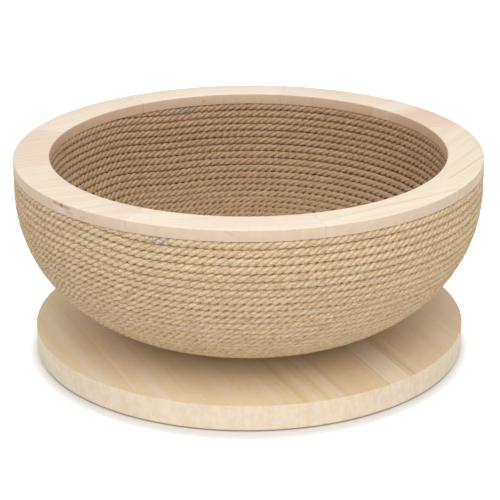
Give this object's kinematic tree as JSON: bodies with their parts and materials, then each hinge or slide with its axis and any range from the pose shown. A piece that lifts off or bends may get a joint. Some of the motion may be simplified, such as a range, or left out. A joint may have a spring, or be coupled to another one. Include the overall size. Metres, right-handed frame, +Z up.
{
  "type": "cat scratcher basket",
  "caption": "Rope-wound round scratching bowl with a flat segmented wooden rim, on a round wooden base made of glued staves.",
  "frame": {"origin": "on the floor, under the middle of the round base", "axes": "+Z up along the bowl's axis; front, as in the picture, towards -Y"},
  "size_m": [0.4, 0.4, 0.1752],
  "materials": {
    "base_wood": "satin",
    "rim_wood": "satin",
    "seat_wood": "matte",
    "moulded_fibre": "matte",
    "dowel_wood": "matte",
    "jute_rope": "matte",
    "zinc_steel": "satin",
    "felt_pad": "matte"
  },
  "bodies": {
    "root": {"base_stave_1": "base_wood", "base_stave_2": "base_wood", "base_stave_3": "base_wood", "base_stave_4": "base_wood", "base_stave_5": "base_wood", "base_stave_6": "base_wood", "base_stave_7": "base_wood", "base_stave_8": "base_wood", "base_stave_9": "base_wood", "base_stave_10": "base_wood", "foot_pads": "felt_pad", "seat_disc": "seat_wood", "mounting_screws": "zinc_steel", "bowl_shell": "moulded_fibre", "rim_dowels": "dowel_wood", "rim_segment_1": "rim_wood", "rim_segment_2": "rim_wood", "rim_segment_3": "rim_wood", "rim_segment_4": "rim_wood", "rim_segment_5": "rim_wood", "rim_segment_6": "rim_wood", "rim_segment_7": "rim_wood", "rim_segment_8": "rim_wood", "rim_segment_9": "rim_wood", "outer_rope_wall": "jute_rope", "outer_rope_underside": "jute_rope", "inner_rope_wall": "jute_rope", "inner_rope_floor": "jute_rope"}
  },
  "joints": []
}
